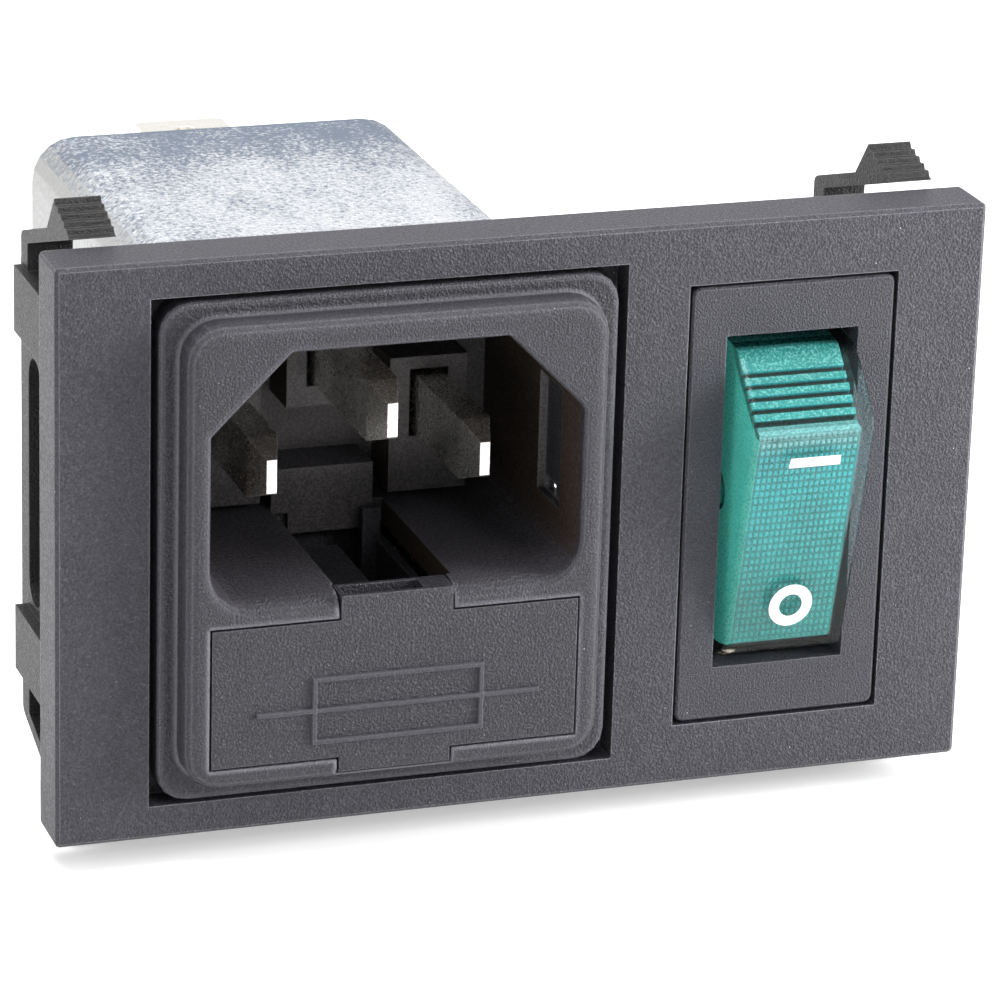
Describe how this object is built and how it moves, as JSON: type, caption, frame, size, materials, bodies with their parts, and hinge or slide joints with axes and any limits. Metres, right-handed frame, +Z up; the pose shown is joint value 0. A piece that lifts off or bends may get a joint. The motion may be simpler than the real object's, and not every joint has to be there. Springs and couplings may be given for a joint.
{
  "type": "power entry module",
  "caption": "Snap-in panel power entry module: filtered mains inlet with a drawer for fuses, and a lit green rocker switch, in one charcoal frame.",
  "frame": {"origin": "on the panel seat, the back face of the frame's plate, in the middle of the bar between the two windows", "axes": "+X to the right seen from the front, +Y into the panel, +Z up"},
  "size_m": [0.061, 0.0555, 0.0418],
  "materials": {
    "charcoal_plastic": "fine spark-eroded grain, soft sheen",
    "black_plastic": "smooth moulded, soft sheen",
    "clear_plastic": "clear, polished",
    "green_plastic": "translucent green, polished",
    "natural_plastic": "natural nylon",
    "tinned_brass": "bright tin plate",
    "silvered_brass": "brass, silvered at the contact",
    "spring_bronze": "rolled spring bronze",
    "zinc_steel": "zinc-plated deep-drawn steel, spangled",
    "copper": "copper",
    "fuse_glass": "clear glass tube",
    "fuse_cap_metal": "nickel-plated brass",
    "fuse_wire_metal": "tinned copper wire",
    "spring_steel": "bright spring wire",
    "lamp_glass": "clear glass bulb",
    "resistor_lacquer": "lacquered ceramic",
    "ferrite": "sintered ferrite",
    "board_laminate": "glass laminate",
    "capacitor_case": "potted plastic case",
    "capacitor_lacquer": "lacquered ceramic disc"
  },
  "bodies": {
    "frame": {"bezel_frame": "charcoal_plastic", "inlet_housing": "charcoal_plastic", "line_pin": "tinned_brass", "neutral_pin": "tinned_brass", "earth_pin": "tinned_brass", "line_front_contact": "spring_bronze", "line_rear_contact": "spring_bronze", "neutral_front_contact": "spring_bronze", "neutral_rear_contact": "spring_bronze", "filter_can": "zinc_steel", "terminal_bush": "black_plastic", "line_blade": "tinned_brass", "neutral_blade": "tinned_brass", "earth_blade": "tinned_brass", "earth_rivet": "tinned_brass", "filter_board": "board_laminate", "choke_core": "ferrite", "line_winding": "copper", "neutral_winding": "copper", "x_capacitor": "capacitor_case", "line_y_capacitor": "capacitor_lacquer", "neutral_y_capacitor": "capacitor_lacquer", "bleed_resistor": "resistor_lacquer", "switch_insert": "charcoal_plastic", "switch_base": "black_plastic", "line_feed_tab": "silvered_brass", "line_load_tab": "silvered_brass", "neutral_feed_tab": "silvered_brass", "neutral_load_tab": "silvered_brass"},
    "drawer": {"fuse_drawer": "charcoal_plastic", "line_fuse_glass": "fuse_glass", "line_fuse_front_cap": "fuse_cap_metal", "line_fuse_rear_cap": "fuse_cap_metal", "line_fuse_wire": "fuse_wire_metal", "neutral_fuse_glass": "fuse_glass", "neutral_fuse_front_cap": "fuse_cap_metal", "neutral_fuse_rear_cap": "fuse_cap_metal", "neutral_fuse_wire": "fuse_wire_metal"},
    "rocker": {"rocker_cover": "clear_plastic", "rocker_lens": "green_plastic", "rocker_carrier": "black_plastic", "line_spring": "spring_steel", "neutral_spring": "spring_steel", "neon_lamp": "lamp_glass", "lamp_resistor": "resistor_lacquer"},
    "line_plunger": {"line_plunger": "natural_plastic"},
    "neutral_plunger": {"neutral_plunger": "natural_plastic"},
    "line_bar": {"line_contact_bar": "copper"},
    "neutral_bar": {"neutral_contact_bar": "copper"}
  },
  "joints": [
    {"name": "rocker_hinge", "type": "hinge", "parent": "frame", "child": "rocker", "pos_m": [0.00916, -0.001, 0.00014], "axis": [-1, 0, 0], "range_deg": [0, 20]},
    {"name": "drawer_slide", "type": "slide", "parent": "frame", "child": "drawer", "axis": [0, -1, 0], "range_m": [0, 0.026]},
    {"name": "line_bar_hinge", "type": "hinge", "parent": "frame", "child": "line_bar", "pos_m": [0.00626, 0.00825, 0.00014], "axis": [1, 0, 0], "range_deg": [0, 16]},
    {"name": "neutral_bar_hinge", "type": "hinge", "parent": "frame", "child": "neutral_bar", "pos_m": [0.01206, 0.00825, 0.00014], "axis": [1, 0, 0], "range_deg": [0, 16]},
    {"name": "line_plunger_slide", "type": "slide", "parent": "rocker", "child": "line_plunger", "axis": [0, 0.9848, 0.1736], "range_m": [-0.0002, 0.0003], "stiffness_N_per_m": 150},
    {"name": "neutral_plunger_slide", "type": "slide", "parent": "rocker", "child": "neutral_plunger", "axis": [0, 0.9848, 0.1736], "range_m": [-0.0002, 0.0003], "stiffness_N_per_m": 150}
  ],
  "couplings": [
    {"joint": "line_bar_hinge", "follows": "rocker_hinge", "ratio": 0.8},
    {"joint": "neutral_bar_hinge", "follows": "rocker_hinge", "ratio": 0.8}
  ]
}
